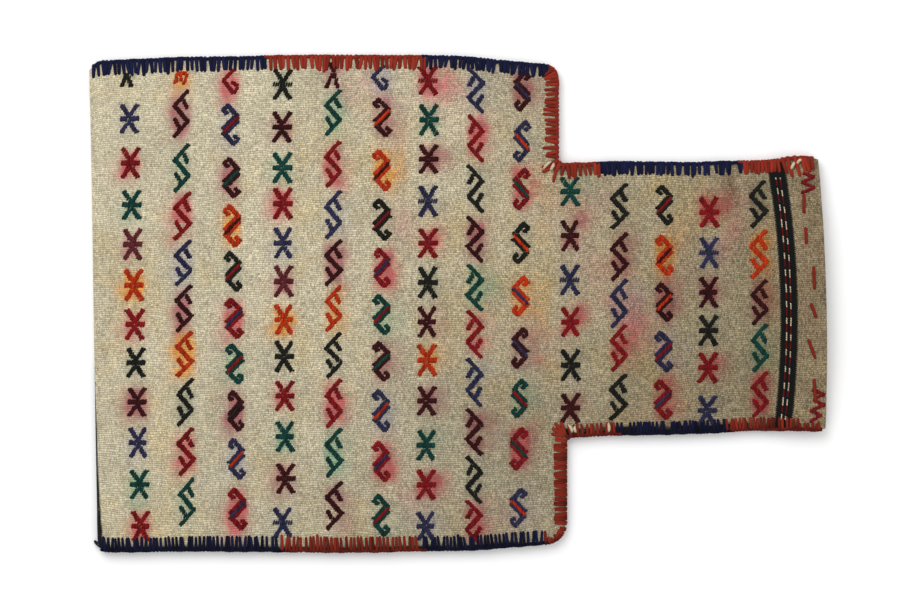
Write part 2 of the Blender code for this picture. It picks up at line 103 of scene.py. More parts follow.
def plan(step, v):
    """x and y in mm, at a step from the base. v runs from -2 at the near body edge to 2 at the far one."""
    step, v = np.broadcast_arrays(np.asarray(step, float), np.asarray(v, float))
    base = -LENGTH / 2
    across = np.clip(v, -1, 1)
    base_x = base - BASE_SKEW * v / 2
    shoulder_x = base + BODY - SHOULDER_SKEW * across
    mouth_x = base + LENGTH - MOUTH_SKEW * across + MOUTH_BOW * (1 - across**2)
    x = np.where(step <= BODY, mix(base_x, shoulder_x, step / BODY),
                 mix(shoulder_x, mouth_x, (step - BODY) / NECK))
    near_body, near_neck, far_neck, far_body = reaches(step)
    y = np.where(v > 1, mix(far_neck, far_body, v - 1),
                 np.where(v < -1, mix(near_neck, near_body, -v - 1), mix(near_neck, far_neck, (v + 1) / 2)))
    return x, y


def edge_line(first, last, count):
    """Points from one (step, v) to another."""
    t = np.linspace(0, 1, count + 1)
    return np.stack(plan(mix(first[0], last[0], t), mix(first[1], last[1], t)), 1)


# The sewn edges, far and then near: body, shoulder and neck
SEWN = [line for side in (1, -1) for line in (
    edge_line((0, 2 * side), (BODY, 2 * side), 48),
    edge_line((BODY, 2 * side), (BODY, side), 12),
    edge_line((BODY, side), (LENGTH, side), 24))]
BASE_LINE = edge_line((0, -2), (0, 2), 12)


def distance_to(line, x, y):
    points = np.stack([np.ravel(x), np.ravel(y)], 1)[:, None]
    a, run = line[:-1], line[1:] - line[:-1]
    t = np.clip(((points - a) * run).sum(2) / np.maximum((run**2).sum(1), 1e-9), 0, 1)
    return np.linalg.norm(points - a - run * t[..., None], axis=2).min(1).reshape(np.shape(x))


def swell(distance):
    return 1 - (1 - np.minimum(distance / SWELL, 1)) ** 2


def heights(x, y, step):
    """z in mm of the middle of the back's and of the front's thickness."""
    away = np.stack([distance_to(line, x, y) for line in SEWN])
    edge = away.min(0)
    full = swell(away).prod(0)
    back = THICKNESS / 2 + MARGIN_LIFT * (1 - ease((edge - LIFT_START) / (LIFT_END - LIFT_START)))
    hem_room = (THICKNESS + LAP) * ease((step - (LENGTH - HEM - HEM_RISE_START)) / HEM_RISE)
    height = SEAM_GAP + hem_room + (HOLLOW - SEAM_GAP - hem_room) * full
    gap = mix(np.minimum(FOLD_GAP, height), height, swell(distance_to(BASE_LINE, x, y)))
    return back, back + THICKNESS + gap, gap


class Noise:
    """Smooth value noise over the plan, from a fixed seed."""

    def __init__(self, seed, cell):
        self.cell = cell
        self.grid = np.random.default_rng(seed).uniform(-1, 1, (160, 160))

    def __call__(self, x, y):
        u, v = np.asarray(x) / self.cell + 70, np.asarray(y) / self.cell + 70
        i, j = np.floor(u).astype(int) % 158, np.floor(v).astype(int) % 158
        a, b = ease(u - np.floor(u)), ease(v - np.floor(v))
        g = self.grid
        return mix(mix(g[i, j], g[i + 1, j], a), mix(g[i, j + 1], g[i + 1, j + 1], a), b)


BROAD, MIDDLE, FINE, GRAIN, PUCKERS = Noise(3, 70), Noise(5, 24), Noise(8, 9), Noise(13, 4), Noise(17, 6.5)


def spot(dx, dy, rx, ry):
    """1 in the middle, falling softly over the reaches rx and ry."""
    return np.exp(-((dx / rx) ** 2) - (dy / ry) ** 2)


def relief(x, y):
    """The soft unevenness of the front in mm, with the crease at the neck's far side."""
    level = 0.9 * BROAD(x, y) + 0.55 * MIDDLE(x, y) + 0.16 * FINE(x, y)
    pucker = 3.4 * spot(x - 232 + 0.25 * (y - 92), y - 94, 6.5, 22)
    dip = 3.4 * spot(x - 221 + 0.15 * (y - 92), y - 92, 5.5, 20)
    return level + pucker - dip


def ripple(x, y):
    """Small puckers that the tight stitches pull into the cloth along the sewn edges, in mm."""
    edge = np.stack([distance_to(line, x, y) for line in SEWN]).min(0)
    return 0.7 * PUCKERS(x, y) * np.exp(-(((edge - 13) / 8) ** 2))


# Colours of wool, as linear RGB
WOOLS = {
    "navy": (0.0065, 0.0082, 0.034),
    "rust": (0.225, 0.021, 0.0095),
    "blue": (0.021, 0.021, 0.055),
    "red": (0.165, 0.0045, 0.0065),
    "green": (0.004, 0.038, 0.030),
    "plum": (0.034, 0.0045, 0.0055),
    "orange": (0.38, 0.024, 0.002),
    "black": (0.0100, 0.0100, 0.0078),
    "ivory": (0.62, 0.50, 0.34),
    "crimson": (0.150, 0.0055, 0.0085),
    "mulberry": (0.090, 0.015, 0.018),
}
GROUND = np.array((0.567, 0.514, 0.366))
# Tint of the painted shade that darkens the cloth towards the mouth
PAINTED_SHADE_TINT = np.array((0.50, 0.45, 0.375))
DARK = np.array((0.007, 0.007, 0.010))

# How wide the dark stripe at the base fold is in mm, by the distance towards the near side
STRIPE_PLACES = (20, 60, 100, 134, 155, 175, 190, 199)
STRIPE_WIDTHS = (-9, 0.6, 2.0, 2.4, 3.0, 3.7, 4.8, 6.5)

# Dye that has bled into the ground round each colour: its tint and strength
BLEEDS = {
    "red": ((0.55, 0.13, 0.13), 0.62),
    "crimson": ((0.55, 0.16, 0.15), 0.5),
    "orange": ((0.70, 0.32, 0.07), 0.55),
    "green": ((0.28, 0.42, 0.27), 0.38),
    "blue": ((0.40, 0.38, 0.37), 0.34),
    "plum": ((0.40, 0.15, 0.15), 0.50),
    "mulberry": ((0.46, 0.18, 0.18), 0.5),
    "black": ((0.33, 0.33, 0.24), 0.28),
}

# Rows of figures: shape, x at the far and the near side in mm, how far the dye runs in x and y, and each
# figure's colours and y
ROWS = (
    ("half hook", -184.7, -184.7, -2, -6, "red 180"),
    ("half hook", -63, -63, 4, -3, "blue 183"),
    ("fork", -102, -102, 4, -2, "plum 185"),
    ("ticked star", -24, -24, 6, 0, "red 181 blue 83"),
    ("lower arms", -269, -269, -3, -2, "black 186"),
    ("arch", -224.5, -224.5, -2, -5, "orange 184"),
    ("ticked star", -142, -142, 0, -5, "black 178 blue -178"),
    ("ticked star", 91, 91, 2, 0, "blue 19"),
    ("ticked star", 204, 204, 2, 0, "blue 41"),
    ("star", -268, -257, -2, -5,
     "blue 150 red 114 green 80 mulberry 48 orange 15 red -17 black -48 plum -80 blue -113 green -147 red -181"),
    ("comb", -225, -219, -3, -5,
     "plum 154 green 110 red 71 blue 33 plum -4 orange -41 black -80 red -120 green -161"),
    ("hook", -185, -178, -2, -6,
     "blue/red 145 plum/green 102 orange/plum 63 black/red 26 red/blue -12 green/red -49 plum/black -87 "
     "blue/orange -126 red/blue -167"),
    ("star", -143, -139, -3, -4,
     "plum 143 green 110 red 81 blue 49 mulberry 18 orange -13 black -43 red -75 green -108 plum -142"),
    ("comb", -101, -100, 4, -3,
     "green 155 red 113 blue 72 plum 33 orange -4 black -42 red -81 green -121 plum -164"),
    ("hook", -61, -62, 7, -3,
     "plum/orange 151 orange/plum 108 black/crimson 68 red/blue 29 green/red -9 plum/green -47 "
     "blue/orange -87 red/blue -128 green/red -172"),
    ("star", -23, -26, 6, 2,
     "green 149 plum 117 red 49 black 17 plum -15 orange -46 plum -79 green -115 red -147 blue -181"),
    ("mirrored comb", 15, 13, 7, 2,
     "blue 173 red 134 black 93 plum 52 green 13 red -25 blue -64 plum -104 black -143 red -178"),
    ("mirrored hook", 53, 49, 7, 3,
     "plum/blue 173 blue/orange 132 red/green 93 black/orange 49 orange/blue 6 plum/blue -36 green/red -77 "
     "red/green -118 blue/orange -166"),
    ("star", 91, 92, 10, 6, "green 91 plum 55 red -15 black -50 plum -85"),
    ("comb", 132, 130, 8, 5, "black 79 plum 38 blue 0 red -36 black -76"),
    ("hook", 169, 166, 8, 5, "black/red 80 orange/plum 39 plum/orange 1 blue/red -39 red/blue -78"),
    ("star", 205, 202, 6, 4, "red 74 plum 9 black -22 red -52 blue -87"),
    ("comb", 243, 247, 3, 2, "black 81 orange 40 plum 1 green -36 red -74"),
)

# Wider runs of dye and old stains: x, y, reach in x and y, lean, tint and strength.
# The first is painted shade in the crease at the neck's far side, with a dark red tint
STAINS = (
    (220, 86, 6, 16, -0.2, (0.42, 0.17, 0.15), 0.42),
    (100, 80, 26, 22, 0.5, (0.66, 0.33, 0.28), 0.30),
    (128, 10, 18, 30, -0.7, (0.66, 0.30, 0.26), 0.42),
    (152, -20, 14, 26, -0.7, (0.66, 0.30, 0.26), 0.30),
    (70, -30, 22, 26, 0, (0.62, 0.34, 0.29), 0.26),
    (223, 62, 12, 30, 0.3, (0.64, 0.30, 0.28), 0.36),
    (183, 60, 14, 24, 0.6, (0.70, 0.42, 0.20), 0.26),
    (178, 20, 14, 18, 0.4, (0.60, 0.32, 0.27), 0.26),
    (70, 20, 8, 60, 0, (0.68, 0.47, 0.14), 0.30),
    (78, -58, 7, 12, 0, (0.68, 0.47, 0.14), 0.24),
    (-12, 172, 16, 20, 0, (0.66, 0.26, 0.26), 0.42),
    (-78, 175, 16, 18, 0, (0.66, 0.34, 0.30), 0.32),
    (-45, 62, 14, 20, 0, (0.64, 0.34, 0.30), 0.26),
    (-40, -160, 18, 14, 0, (0.64, 0.34, 0.30), 0.26),
    (30, -172, 24, 14, 0, (0.62, 0.36, 0.33), 0.30),
    (285, 10, 14, 130, 0, (0.50, 0.33, 0.25), 0.30),
    (251, 20, 8, 60, 0, (0.60, 0.40, 0.22), 0.26),
    (-215, -172, 26, 14, 0, (0.50, 0.38, 0.22), 0.20),
    (140, -88, 60, 14, 0, (0.52, 0.37, 0.24), 0.24),
    (150, -60, 30, 20, 0.4, (0.50, 0.40, 0.20), 0.16),
)


def new_object(name, data):
    made = bpy.data.objects.new(name, data)
    bpy.context.scene.collection.objects.link(made)
    return made


def new_mesh(name, verts, faces, uvs=None, layer="weave"):
    mesh = bpy.data.meshes.new(name)
    mesh.from_pydata(np.asarray(verts).tolist(), [], faces)
    if uvs is not None:
        mesh.uv_layers.new(name=layer).data.foreach_set("uv", np.asarray(uvs, np.float32).ravel())
    return new_object(name, mesh)


def figures():
    """Every figure as shape, colours, x and y in mm."""
    for shape, far_x, near_x, run_x, run_y, words in ROWS:
        words = words.split()
        for colours, place in zip(words[::2], words[1::2]):
            y = float(place)
            yield shape, colours.split("/"), mix(near_x, far_x, y / (2 * BODY_HALF) + 0.5), y, run_x, run_y


def runs_of_dye(x, y):
    """How strongly each run of dye or stain reaches every place, and its tint."""
    rng = np.random.default_rng(21)
    for shape, colours, cx, cy, run_x, run_y in figures():
        tint, strength = BLEEDS[colours[0]]
        long = 17 if shape.endswith(("comb", "hook")) and shape != "half hook" else 11
        strength *= rng.uniform(0.5, 1.3) * (0.45 if shape in ("arch", "lower arms") else 1)
        dx, dy = x - cx - run_x * rng.uniform(0.5, 1.6), y - cy - run_y * rng.uniform(0.2, 1.8)
        spread = rng.uniform(8.5, 12.5)
        tall = long + rng.uniform(-1, 4)
        weight = strength * np.exp(-((dx / spread) ** 2) ** 1.2 - ((dy / tall) ** 2) ** 1.2)
        inside = 1.1 * np.exp(-(((x - cx) / 7.5) ** 2) ** 2 - (((y - cy) / (long - 1)) ** 2) ** 2)
        yield weight + inside * strength, tint
    for sx, sy, rx, ry, lean, tint, strength in STAINS:
        dx, dy = x - sx, y - sy
        yield strength * spot(dx - lean * dy, dy, rx, ry), tint


def dye(x, y, u, v, front):
    """The wool's colour before the weave's own variation, with painted shade and light, and the tint and cover
    of what has soaked in.
    """
    uneven = 1 + 0.07 * BROAD(x + 40, y) + 0.07 * MIDDLE(x, y + 90) + 0.05 * FINE(x, y)
    colour = GROUND * uneven[:, None]
    warm = np.clip(0.5 * BROAD(x * 1.4 - 90, y * 1.4) + 0.5 * MIDDLE(x + 30, y) + 0.4 * FINE(y, x), 0, 1)
    colour = mix(colour, colour * (1.0, 0.92, 0.76), warm[:, None])
    total, tints = 0, 0
    for weight, tint in runs_of_dye(x, y):
        total = total + weight
        tints = tints + weight[:, None] * tint
    tints /= np.maximum(total, 1e-6)[:, None]
    ragged = 1 + 0.5 * MIDDLE(x * 2 + 11, y * 2) + 0.45 * FINE(x, y + 50) + 0.4 * GRAIN(x, y)
    cover = np.clip(total * np.clip(ragged, 0.1, 1.9), 0, 0.95) * front
    # Painted shade, darker towards the mouth and on the near side, and painted light on the far side; then
    # random smudges
    along = np.clip((x + 150) / 440, 0, 1)
    low, high = spot(x - 40, y + 130, 120, 80), spot(x - 20, y - 110, 90, 80)
    painted_shade = mix(np.ones(3), PAINTED_SHADE_TINT, along[:, None]) * (1 - 0.20 * low[:, None]) * (1 + 0.12 * high[:, None])
    smudge = np.clip(MIDDLE(x - 60, y * 0.7) + 0.6 * FINE(x, y * 0.8) - 0.2, 0, 1)
    # Painted shade in the crease at the neck's far side
    crease_shade = spot(x - 223 + 0.2 * (y - 95), y - 96, 4.2, 17)[:, None]
    colour = colour * painted_shade * (1 - 0.13 * smudge * along)[:, None] * (1 - crease_shade * (0.42, 0.50, 0.52))

    # The dark stripe at the base fold, and dark wool under the stitches of parts of both sides
    stripe = np.interp(-v, STRIPE_PLACES, STRIPE_WIDTHS)
    fold = (1 - ease((u - stripe) / 0.9)) * (1 - ease((-u - 4) / 2))
    near = np.minimum(distance_to(SEWN[3], x, y), distance_to(SEWN[5], x, y))
    reach = 5.5 + 1.5 * FINE(x * 1.7, y) - 2.2 * (x < 86) - 9 * ((x > 50) & (y < -110)) - 9 * (x > 238)
    far = distance_to(SEWN[2], x, y) + np.clip((x - 118) / 4, 0, 9)
    fold = np.maximum(fold, np.maximum(1 - ease((near - reach) / 2), 0.8 * (1 - ease((far - 4.5) / 2))) * front)
    colour = mix(colour, DARK, (0.995 * fold)[:, None])
    return colour, np.concatenate([tints * painted_shade, (cover * (1 - fold))[:, None]], 1)


def cloth_rows():
    """Rows of the cloth from the hem's end over the front and the base to the back's end: step, kind, turn."""
    rows = [(s, "hem", 0) for s in np.linspace(LENGTH - HEM, LENGTH - THICKNESS - LAP, 6)]
    rows += [(LENGTH, "mouth", a) for a in np.linspace(-90, 90, 9)]
    front = [5.2, *np.linspace(7, BODY - 10, 147), *(BODY - np.array((7, 5, 3.2, 1.8, 0.7, 0))),
             *np.linspace(BODY + 2.5, LENGTH - 6, 79), LENGTH - 4.2]
    rows += [(s, "front", 0) for s in reversed(front)]
    rows += [(0, "base", a) for a in np.linspace(90, -90, 13)]
    back = [5.2, *np.linspace(8, BODY - 10, 42), *(BODY - np.array((6, 3, 1, 0))),
            *np.linspace(BODY + 5, LENGTH - 6, 22), *(LENGTH - np.array((3, 1, 0)))]
    return rows + [(s, "back", 0) for s in back]


def cloth_row(step, kind, turn, v):
    """x, y and z of one row in mm, how far it is along the weave, and whether it is on the front."""
    half = THICKNESS / 2
    turn = math.radians(turn)
    if kind == "base":
        radius = half + heights(*plan(half, v), half)[2] / 2
        step = half + radius * (1 - math.cos(turn))
        x, y = plan(step, v)
        z = heights(x, y, step)[0] + radius + radius * math.sin(turn)
        return x, y, z, radius * turn, turn > 0
    if kind == "mouth":
        radius = half + LAP / 2
        x, y = plan(LENGTH - half - radius * (1 - math.cos(turn)), v)
        top = heights(*plan(LENGTH - half - radius, v), LENGTH)[1]
        z = top - radius + radius * math.sin(turn) + relief(x, y) * 0.35
        return x, y, z, LENGTH - radius * turn, turn > -0.5
    x, y = plan(step, v)
    back, top, gap = heights(x, y, step)
    if kind == "back":
        return x, y, back, -step, False
    rise = relief(x, y) * np.clip(gap / 6, 0.15, 1) + ripple(x, y)
    if kind == "hem":
        return x, y, top + rise - (THICKNESS + LAP), 2 * LENGTH - step, False
    return x, y, top + rise, step, True


def weave_cloth():
    """The whole folded cloth as one closed mesh, with its weave coordinates and dyes."""
    rows = cloth_rows()
    neck = np.linspace(-1, 1, 83)
    side = 1 + np.linspace(0, 1, 34)[1:] ** 0.97
    lines = np.concatenate([-side[::-1], neck, side])
    middle = len(side)
    index = -np.ones((len(rows), len(lines)), int)
    places, weave, facts = [], [], []
    count = 0
    for r, (step, kind, turn) in enumerate(rows):
        in_body = kind == "base" or (kind in ("front", "back") and step <= BODY + 1e-6)
        picked = np.arange(len(lines)) if in_body else np.arange(middle, middle + len(neck))
        v = lines[picked]
        x, y, z, u, front = cloth_row(step, kind, turn, v)
        beyond = NECK_HALF + (np.abs(v) - 1) * (BODY_HALF - NECK_HALF)
        across = np.where(np.abs(v) <= 1, v * NECK_HALF, np.sign(v) * beyond)
        index[r, picked] = np.arange(count, count + len(v))
        count += len(v)
        places.append(np.stack([x, y, z], 1))
        weave.append(np.stack([u + 0 * v, across], 1))
        facts.append(np.full(len(v), bool(front)))
    places, weave, facts = (np.concatenate(part) for part in (places, weave, facts))
    quads = np.stack([index[:-1, :-1], index[1:, :-1], index[1:, 1:], index[:-1, 1:]], -1).reshape(-1, 4)
    quads = quads[quads.min(1) >= 0]
    cloth = new_mesh("woven_wool_cloth", places * MM, quads.tolist(), weave[quads.ravel()])
    colours, stains = dye(places[:, 0], places[:, 1], weave[:, 0], weave[:, 1], facts)
    for name, values in (("dye", np.insert(colours, 3, 1, 1)), ("stain", stains)):
        layer = cloth.data.color_attributes.new(name, "FLOAT_COLOR", "POINT")
        layer.data.foreach_set("color", values.astype(np.float32).ravel())
    wall = cloth.modifiers.new("thickness", "SOLIDIFY")
    wall.thickness = THICKNESS * MM
    wall.offset = 0
    wall.use_even_offset = True
    depsgraph = bpy.context.evaluated_depsgraph_get()
    solid = bpy.data.meshes.new_from_object(cloth.evaluated_get(depsgraph))
    cloth.modifiers.clear()
    cloth.data = solid
    solid.shade_smooth()
    return cloth


class Nodes:
    """Short names for the nodes that the wool materials use."""

    def __init__(self, name):
        self.material = bpy.data.materials.new(name)
        self.material.use_nodes = True
        self.tree = self.material.node_tree
        self.shader = self.tree.nodes["Principled BSDF"]

    def node(self, kind):
        return self.tree.nodes.new("ShaderNode" + kind)

    def put(self, socket, value):
        if isinstance(value, bpy.types.NodeSocket):
            self.tree.links.new(value, socket)
        else:
            socket.default_value = value

    def math(self, operation, a, b=0.0, clamp=False):
        node = self.node("Math")
        node.operation = operation
        node.use_clamp = clamp
        for socket, value in zip(node.inputs, (a, b)):
            self.put(socket, value)
        return node.outputs[0]

    def plus(self, a, b):
        return self.math("ADD", a, b)

    def minus(self, a, b, clamp=False):
        return self.math("SUBTRACT", a, b, clamp)

    def times(self, a, b, clamp=False):
        return self.math("MULTIPLY", a, b, clamp)

    def blend(self, factor, a, b, kind="MIX"):
        node = self.node("Mix")
        node.data_type = "RGBA"
        node.blend_type = kind
        self.put(node.inputs["Factor"], factor)
        for socket, value in zip((node.inputs[6], node.inputs[7]), (a, b)):
            self.put(socket, value if isinstance(value, bpy.types.NodeSocket) else (*value, 1))
        return node.outputs[2]

    def uv(self, layer):
        node = self.node("UVMap")
        node.uv_map = layer
        split = self.node("SeparateXYZ")
        self.put(split.inputs[0], node.outputs[0])
        return split.outputs[0], split.outputs[1]

    def point(self, x, y, z=0.0):
        node = self.node("CombineXYZ")
        for socket, value in zip(node.inputs, (x, y, z)):
            self.put(socket, value)
        return node.outputs[0]

    def noise(self, place, scale=1.0, detail=2.0, rough=0.5):
        node = self.node("TexNoise")
        for name, value in (("Vector", place), ("Scale", scale), ("Detail", detail), ("Roughness", rough)):
            self.put(node.inputs[name], value)
        return node.outputs[0]

    def random(self, place):
        node = self.node("TexWhiteNoise")
        node.noise_dimensions = "2D"
        self.put(node.inputs["Vector"], place)
        return node.outputs[0]

    def attribute(self, name):
        node = self.node("Attribute")
        node.attribute_name = name
        return node

    def bump(self, height, distance, strength=1.0):
        node = self.node("Bump")
        node.inputs["Strength"].default_value = strength
        node.inputs["Distance"].default_value = distance
        self.put(node.inputs["Height"], height)
        self.put(self.shader.inputs["Normal"], node.outputs[0])

    def finish(self, colour, rough, sheen, specular=0.06):
        for name, value in (("Base Color", colour), ("Roughness", rough), ("Sheen Weight", sheen),
                            ("Sheen Roughness", 0.5), ("Specular IOR Level", specular)):
            self.put(self.shader.inputs[name], value)
        return self.material


def weave_material():
    """Plain weave with ribs along the bag, dyed by the cloth's own colours, with the dark band."""
    n = Nodes("woven wool")
    u, v = n.uv("weave")
    m, plus, minus, times = n.math, n.plus, n.minus, n.times

    # Uneven ribs and picks, with every other rib half a pick further on
    drift = minus(n.noise(n.point(u, v), 0.045, 1), 0.5)
    wander = minus(n.noise(n.point(times(u, 0.12), times(v, 0.9))), 0.5)
    v_rib = m("DIVIDE", plus(v, plus(times(drift, 5.0), times(wander, 0.9))), RIB)
    rib = m("FLOOR", v_rib)
    rib_f = minus(minus(v_rib, rib), 0.5)
    jog = minus(n.noise(n.point(times(u, 0.9), times(v, 0.25))), 0.5)
    u_pick = m("DIVIDE", plus(u, times(jog, 1.4)), PICK)
    u_pick = plus(u_pick, times(m("MODULO", m("ABSOLUTE", rib), 2.0), 0.5))
    pick = m("FLOOR", u_pick)
    pick_f = minus(minus(u_pick, pick), 0.5)
    across, along = (minus(1.0, times(times(part, part), 4.0)) for part in (rib_f, pick_f))
    knuckle = times(m("POWER", across, 0.6), plus(0.55, times(along, 0.45)))
    cell = n.random(n.point(pick, rib))
    streak = n.noise(n.point(times(u, 0.16), times(rib, 7.3)))
    beat = n.noise(n.point(times(pick, 5.1), times(v, 0.05)))
    fibre = n.noise(n.point(times(u, 1.6), times(v, 3.2)), 1, 3, 0.7)
    n.bump(plus(knuckle, plus(times(fibre, 0.35), times(cell, 0.25))), 0.42 * MM)

    # Tones of the wool, which is more worn towards the mouth, and painted shade in the gaps between threads
    wear = m("DIVIDE", u, LENGTH, clamp=True)
    uneven = times(minus(cell, 0.5), plus(0.52, times(wear, 0.40)))
    tone = plus(plus(uneven, 0.25), times(streak, 0.66))
    tone = plus(plus(plus(tone, times(beat, 0.30)), times(fibre, 0.40)), 0.12)
    stain = n.attribute("stain")
    soak = times(stain.outputs["Alpha"], plus(0.45, plus(times(cell, 0.6), times(streak, 0.6))), clamp=True)
    shade = n.blend(soak, n.attribute("dye").outputs["Color"], stain.outputs["Color"])
    shade = n.blend(1.0, shade, n.point(tone, tone, tone), "MULTIPLY")
    # Painted shade in the gaps between the threads, stronger towards the mouth
    gap = minus(1.0, m("POWER", knuckle, 0.7), clamp=True)
    painted_gap_shade = n.blend(1.0, shade, (0.26, 0.21, 0.17), "MULTIPLY")
    shade = n.blend(times(gap, plus(0.84, times(wear, 0.16))), shade, painted_gap_shade)
    fleck = m("GREATER_THAN", n.random(n.point(plus(pick, 31.0), plus(rib, 17.0))), 0.972)
    shade = n.blend(times(fleck, 0.45), shade, (0.20, 0.14, 0.08))
    pale = m("GREATER_THAN", n.random(n.point(plus(pick, 71.0), plus(rib, 7.0))), 0.93)
    light = n.blend(1.0, shade, (1.45, 1.42, 1.34), "MULTIPLY")
    shade = n.blend(times(pale, 0.4), shade, light)

    # The dark band by the mouth, with a tooth at each rib
    lean = m("DIVIDE", v, NECK_HALF)
    middle = minus(LENGTH - BAND_INSET, times(times(lean, lean), BAND_BOW))
    teeth = times(m("MAXIMUM", across, 0.0), 1.5)
    band = m("LESS_THAN", m("ABSOLUTE", minus(u, middle)), plus(BAND_HALF, teeth))
    # Painted light on the band's thread tops and painted shade in the gaps between them
    dark = n.blend(times(knuckle, 0.5), (0.003, 0.004, 0.004), (0.011, 0.013, 0.013))
    return n.finish(n.blend(band, shade, dark), plus(0.82, times(fibre, 0.15)), 0.05)


def yarn_material(name, colour, twist=1.0):
    """Spun wool: two plies with painted shade between them, fibres along them, and a tone for each stitch, which
    also carries painted shade.
    """
    n = Nodes(name)
    along, around = n.uv("yarn")
    m, plus, times = n.math, n.plus, n.times
    turn = plus(times(along, 0.55 * twist), times(around, 2.0))
    ply = m("POWER", m("ABSOLUTE", m("SINE", times(turn, math.pi))), 0.5)
    fibre = n.noise(n.point(times(plus(along, times(around, 3.0)), 1.3), times(around, 16.0)), 1, 3, 0.65)
    patch = n.noise(n.node("NewGeometry").outputs["Position"], 140)
    n.bump(plus(times(ply, 0.8), times(fibre, 0.5)), 0.22 * MM, 0.9)
    bright = plus(times(fibre, 0.55), times(patch, 0.35))
    bright = plus(bright, times(n.attribute("tone").outputs["Fac"], 0.95))
    # Painted shade in the grooves between the plies
    bright = times(plus(bright, 0.10), plus(0.62, times(ply, 0.38)))
    base = n.blend(1.0, colour, n.point(bright, bright, bright), "MULTIPLY")
    faded = tuple(0.75 * c + 0.25 * (0.3 * sum(colour) / 3 + 0.03) for c in colour)
    return n.finish(n.blend(times(patch, 0.35), base, faded), plus(0.72, times(fibre, 0.2)), 0.012)


def along_path(path):
    """The direction at each point of a path, and the distance walked up to it."""
    run = np.gradient(path, axis=0)
    run /= np.maximum(np.linalg.norm(run, axis=1), 1e-9)[:, None]
    return run, np.concatenate([[0], np.cumsum(np.linalg.norm(np.diff(path, axis=0), axis=1))])


class Yarns:
    """Collects tubes of yarn into one mesh. Places and radii are in mm."""

    def __init__(self):
        self.verts, self.faces, self.uvs, self.tones = [], [], [], []
        self.count = 0

    def add(self, path, radius, side, sides=8, flat=1.0, tone=0.5):
        path = np.asarray(path, float)
        radius = np.broadcast_to(radius, len(path))
        run, reach = along_path(path)
        side = side - (side * run).sum(1)[:, None] * run
        side /= np.maximum(np.linalg.norm(side, axis=1), 1e-9)[:, None]
        up = np.cross(side, run)
        angle = np.arange(sides) * 2 * math.pi / sides
        ring = side[:, None] * np.cos(angle)[None, :, None] + up[:, None] * (flat * np.sin(angle))[None, :, None]
        verts = path[:, None] + ring * radius[:, None, None]
        rings, first = len(path), self.count
        for i in range(rings - 1):
            a, b = first + i * sides, first + (i + 1) * sides
            for k in range(sides):
                after = (k + 1) % sides
                self.faces.append((a + k, a + after, b + after, b + k))
                low, high = k / sides, (k + 1) / sides
                self.uvs += [(reach[i], low), (reach[i], high), (reach[i + 1], high), (reach[i + 1], low)]
        for i, order in ((0, range(sides)[::-1]), (rings - 1, range(sides))):
            self.faces.append(tuple(first + i * sides + k for k in order))
            self.uvs += [(reach[i], k / sides) for k in order]
        self.verts.append(verts.reshape(-1, 3))
        self.tones.append(np.repeat(np.broadcast_to(tone, rings), sides))
        self.count += rings * sides

    def build(self, name, material):
        made = new_mesh(name, np.concatenate(self.verts) * MM, self.faces, self.uvs, "yarn")
        layer = made.data.attributes.new("tone", "FLOAT", "POINT")
        layer.data.foreach_set("value", np.concatenate(self.tones).astype(np.float32))
        made.data.materials.append(material)
        made.data.shade_smooth()
        return made


def dress(piece, node):
    """Rides a piece on the root, and hides the node of the pack that it stands for."""
    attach(piece, "root")
    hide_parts(node)
    return piece


def surface(cloth):
    """Queries for the height in mm of the cloth's top and of its underside, None past its edges."""
    depsgraph = bpy.context.evaluated_depsgraph_get()
    depsgraph.update()
    tree = BVHTree.FromObject(cloth, depsgraph)

    def query(start):
        def height(x, y):
            hit = tree.ray_cast(Vector((x * MM, y * MM, start)), Vector((0, 0, -start)))[0]
            return hit.z / MM if hit else None
        return height

    return query(1), query(-1)


# Strokes of the figures in mm, from end to end, with their width. A comb or hook also has each stroke
# turned half round its middle.
STAR = [(-6.4 * i, 12.2 * j, 0.7 * i, 0.4 * j, 3.6) for j in (1, -1) for i in (1, -1)]
STAR += [(-7.6, 0, -0.9, 0, 4.2), (0.9, 0, 7.6, 0, 4.2)]
TICKS = (-7.2, -5.3, -3.5, -1.6, 1.2, 3.1, 5.0, 6.9)
COMB = ((5.7, 18.8, -5.9, 6.2, 3.5), (-6.3, 7.1, 6.1, -6.9, 3.8), (0.5, 12.9, 5.4, 3.5, 3.2))
HOOK = ((5.9, 5.8, -3.0, 15.9, 3.7), (-2.0, 16.1, -6.0, 11.8, 3.5), (-6.4, 12.6, -2.8, 8.2, 3.3),
        (4.6, 5.1, -4.6, -5.1, 7.8))
ACCENT = ((5.7, 6.0, -5.9, -6.8, 2.6),)
LOWER_ARMS = ((-0.2, 1, -3.8, -10.2, 3.2), (0.2, 1, 4.1, -10.0, 3.2))
ARCH = ((-5.0, -6.0, -3.4, 3.0, 2.8), (-3.6, 2.8, 4.2, 3.4, 3.4), (4.6, 3.0, 2.2, -6.4, 2.6),
        (-0.6, 1.5, -0.2, -4.2, 2.4))
HALF_HOOK = ((3.6, 10.6, -5.4, 1.2, 3.2), (-5.6, 2.0, 2.8, -9.8, 3.2), (3.0, -9.6, 6.0, -4.0, 3.0),
             (5.8, -3.4, 1.2, 0.2, 2.6))
FORK = ((3.2, 7.9, -4.8, -9.7, 3.0), (1.1, 4.4, 4.6, -10.2, 2.6), (-2.5, 10.6, 2.3, 2.6, 2.8))
SHAPES = {"half hook": HALF_HOOK, "fork": FORK, "star": STAR, "ticked star": STAR[:4], "comb": COMB,
          "hook": HOOK, "lower arms": LOWER_ARMS, "arch": ARCH}

FLOAT_PITCH, FLOAT_WIDTH = 1.2, 1.62
FIGURE_MARGIN = 3


def stroke_outline(x0, y0, x1, y1, width):
    """The four corners of a straight stroke."""
    run = np.array((x1 - x0, y1 - y0))
    side = np.array((-run[1], run[0])) / np.linalg.norm(run) * width / 2
    a, b = np.array((x0, y0)), np.array((x1, y1))
    return np.array((a + side, b + side, b - side, a - side))


def outlines(strokes, turned):
    made = [stroke_outline(*stroke) for stroke in strokes]
    return made + [-points for points in made] if turned else made


